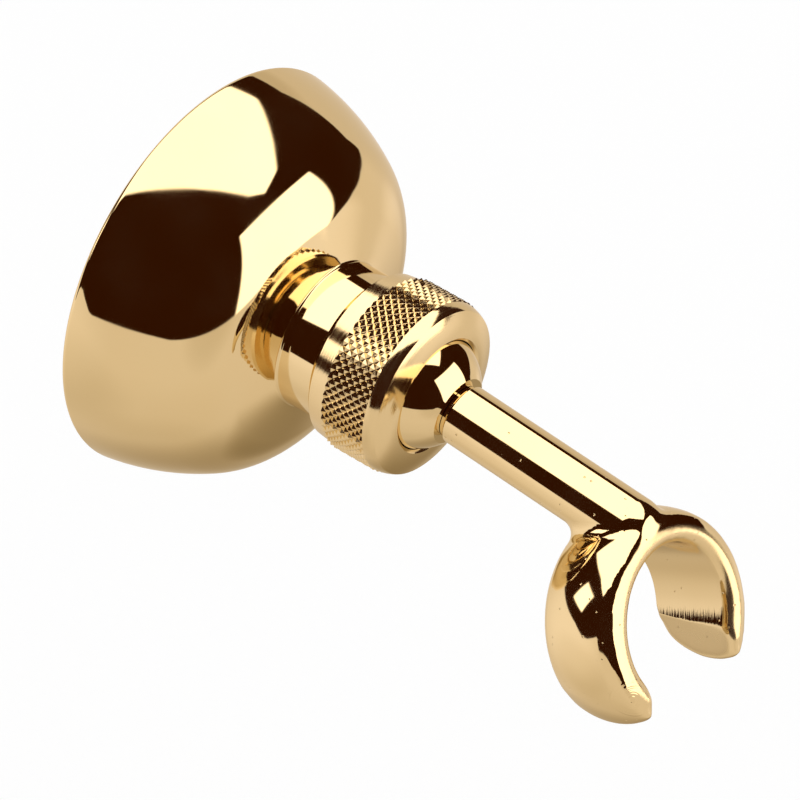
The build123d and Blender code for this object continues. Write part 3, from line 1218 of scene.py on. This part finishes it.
@dataclass
class Studio:
    """Camera, pale floor, and the soft boxes, table and dark room that the polished brass mirrors."""

    aim: Place = (-3.742 * MM, -41.061 * MM, -1.081 * MM)
    distance: float = 882.35 * MM
    bearing: float = -55.53
    height: float = 35.89
    roll: float = 7.78
    lens: float = 270.0
    sensor: float = 36.0
    floor_drop: float = 0.25
    floor_radius: float = 1.4
    floor_corners: int = 96
    floor_colour: Colour = (0.995, 0.995, 0.995)
    white: Colour = (1.0, 1.0, 1.0)
    cream: Colour = (2.17, 1.84, 1.53)
    pale: Colour = (0.80, 0.68, 0.56)
    # Tint of the painted patches per channel: painted shade grows warmer as it darkens.
    painted_patch_tint: Colour = (1.0, 1.12, 1.45)
    dark: Colour = (0.030, 0.0066, 0.0004)
    overhead_box: Field = Field(((17.5, 56.5), (104.0, 41.5), (180.0, 29.0), (-118.0, 37.0)))
    front_box: Field = Field(((-16.4, 40.2), (52.7, 35.8), (40.0, -25.0), (0.5, -25.0)))
    rear_window: Field = Field(((-150.0, 25.0), (-132.0, 25.0), (-132.0, 7.0), (-150.0, 7.0)))
    table_edge: tuple[Pair, ...] = (
        (-180.0, 2.0), (-150.0, -3.0), (-133.0, -5.0), (-121.0, -9.5), (-115.0, -8.0),
        (-105.0, 0.0), (-103.0, 0.0), (-98.0, -10.5), (-30.0, -9.5), (30.0, -10.0),
        (42.0, -12.0), (47.0, -7.0), (57.0, -1.0), (71.0, 3.0), (89.0, 3.5),
        (104.0, 25.2), (125.0, 29.0), (150.0, 30.0), (170.0, 20.0), (180.0, 2.0),
    )
    edge: float = 0.6
    # Patches of painted shade and painted light on the table; the strongest dark ones, below the holder,
    # are its painted shadow.
    painted_patches: tuple[PaintedPatch, ...] = (
        PaintedPatch(88.0, -60.0, 40.0, -0.48),
        PaintedPatch(60.0, -85.0, 35.0, -0.11),
        PaintedPatch(40.0, -88.0, 60.0, -0.08),
        PaintedPatch(-25.0, -4.0, 30.0, -0.13),
        PaintedPatch(-140.0, -15.0, 50.0, 0.24),
        PaintedPatch(40.0, -10.0, 20.0, 0.22),
        PaintedPatch(110.0, 28.0, 16.0, -0.20),
        PaintedPatch(60.0, -50.0, 22.0, -0.42),
        PaintedPatch(80.0, -26.0, 16.0, 0.15),
        PaintedPatch(110.0, 0.0, 34.0, -0.14),
        PaintedPatch(-125.0, -42.0, 32.0, -0.12),
    )

    def add_camera(self) -> None:
        """Sets the camera at the photograph's viewing angle."""
        data = bpy.data.cameras.new("camera")
        data.lens = self.lens
        data.sensor_width = self.sensor
        camera = bpy.data.objects.new("camera", data)
        bpy.context.scene.collection.objects.link(camera)
        turn = Matrix.Rotation(math.radians(self.bearing), 4, "Z")
        tilt = Matrix.Rotation(math.radians(QUARTER_TURN - self.height), 4, "X")
        roll = Matrix.Rotation(math.radians(self.roll), 4, "Z")
        facing = turn @ tilt @ roll
        place = Vector(self.aim) + direction(self.bearing, self.height) * self.distance
        camera.matrix_world = Matrix.Translation(place) @ facing
        bpy.context.scene.camera = camera

    def add_floor(self) -> None:
        """Lays the pale floor under the holder."""
        work = bmesh.new()
        bmesh.ops.create_circle(work, cap_ends=True, segments=self.floor_corners, radius=self.floor_radius)
        bmesh.ops.translate(work, verts=work.verts, vec=(0.0, 0.0, -self.floor_drop))
        mesh = worked_mesh(work, "floor")
        material, tree = new_material("pale_floor")
        surface = tree.add("ShaderNodeBsdfDiffuse", {"Color": self.floor_colour})
        tree.add("ShaderNodeOutputMaterial", {"Surface": surface.outputs[0]})
        mesh.materials.append(material)
        floor = bpy.data.objects.new("floor", mesh)
        floor.visible_glossy = False
        bpy.context.scene.collection.objects.link(floor)

    def add_world(self) -> None:
        """Builds the studio round the holder: white to the eye, even light, and lights in the brass."""
        world = bpy.data.worlds.new("studio")
        bpy.context.scene.world = world
        world.use_nodes = True
        tree = NodeWriter(world.node_tree)
        way = tree.add("ShaderNodeTexCoord", {}).outputs["Generated"]
        colour = self.dark
        for field in (self.overhead_box, self.front_box, self.rear_window):
            colour = tree.mix(self.cover(tree, way, field), colour, self.cream)
        colour = tree.mix(self.above_table(tree, way), self.table(tree, way), colour)
        path = tree.add("ShaderNodeLightPath", {})
        seen = tree.mix(path.outputs["Is Glossy Ray"], self.white, colour)
        light = tree.add("ShaderNodeBackground", {"Color": seen, "Strength": 1.0})
        tree.add("ShaderNodeOutputWorld", {"Surface": light.outputs[0]})

    def above_table(self, tree: NodeWriter, way: NodeSocket) -> NodeSocket:
        """Finds which directions pass over the edge of the pale table and its backdrop.

        Args:
            tree: Writer of the world's tree.
            way: Direction of the ray.

        Returns:
            1 above the edge and 0 below it.
        """
        apart = tree.split(way)
        outward = tree.math("MULTIPLY", apart["Y"], -1.0)
        bearing = tree.math("DEGREES", tree.math("ARCTAN2", apart["X"], outward))
        height = tree.math("DEGREES", tree.math("ARCSINE", apart["Z"]))
        turn = tree.span(bearing, -HALF_TURN, HALF_TURN, smooth=False)
        curve = tree.add("ShaderNodeFloatCurve", {"Value": turn})
        line = curve.mapping.curves[0]
        while len(line.points) < len(self.table_edge):
            line.points.new(CURVE_MIDDLE, CURVE_MIDDLE)
        for point, (at_bearing, at_height) in zip(line.points, self.table_edge):
            across, up = at_bearing / FULL_TURN, at_height / HALF_TURN
            point.location = (across + CURVE_MIDDLE, up + CURVE_MIDDLE)
            point.handle_type = "VECTOR"
        curve.mapping.update()
        rises = (-QUARTER_TURN, QUARTER_TURN)
        edge = tree.span(curve.outputs[0], 0.0, 1.0, rises, smooth=False)
        return tree.span(tree.math("SUBTRACT", height, edge), -self.edge, self.edge)

    def table(self, tree: NodeWriter, way: NodeSocket) -> NodeSocket:
        """Colour of the pale table and its backdrop, with soft patches of painted shade and painted light.

        Args:
            tree: Writer of the world's tree.
            way: Direction of the ray.

        Returns:
            The colour.
        """
        total = 0.0
        # Each darker patch adds painted shade to the table and each brighter one painted light.
        for tone in self.painted_patches:
            nearness = tree.dot(way, direction(tone.bearing, tone.height))
            share = tree.span(nearness, math.cos(math.radians(tone.reach)), 1.0)
            total = tree.math("MULTIPLY_ADD", share, tone.strength, total)
        powers = [tree.math("EXPONENT", tree.math("MULTIPLY", total, tint)) for tint in self.painted_patch_tint]
        return tree.vector("MULTIPLY", tree.join(*powers), self.pale).outputs["Vector"]

    def cover(self, tree: NodeWriter, way: NodeSocket, field: Field) -> NodeSocket:
        """Finds which directions a light covers.

        Args:
            tree: Writer of the world's tree.
            way: Direction of the ray.
            field: The light.

        Returns:
            1 inside the light and 0 outside it, with soft edges.
        """
        soft = math.sin(math.radians(field.edge))
        corners = [direction(*corner) for corner in field.corners]
        middle = sum(corners, Vector())
        share = 1.0
        for corner, following in zip(corners, corners[1:] + corners[:1]):
            inward = following.cross(corner).normalized()
            inward *= math.copysign(1.0, inward.dot(middle))
            share = tree.math("MULTIPLY", share, tree.span(tree.dot(way, inward), -soft, soft))
        return share

    def build(self) -> None:
        """Sets camera, floor and world."""
        self.add_camera()
        self.add_floor()
        self.add_world()
        bpy.context.scene.view_settings.view_transform = "Standard"


def main() -> None:
    """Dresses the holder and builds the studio."""
    logging.basicConfig(level=logging.INFO)
    brass = PolishedBrass().material()
    WallFixing().build(brass, PlatedSteel().material())
    BallSocket().build(brass, MouldedNylon().material())
    LockingNut().build(TurnedBrass().material())
    HookArm().build(CastBrass().material())
    Studio().build()


if __name__ == "__main__":
    main()
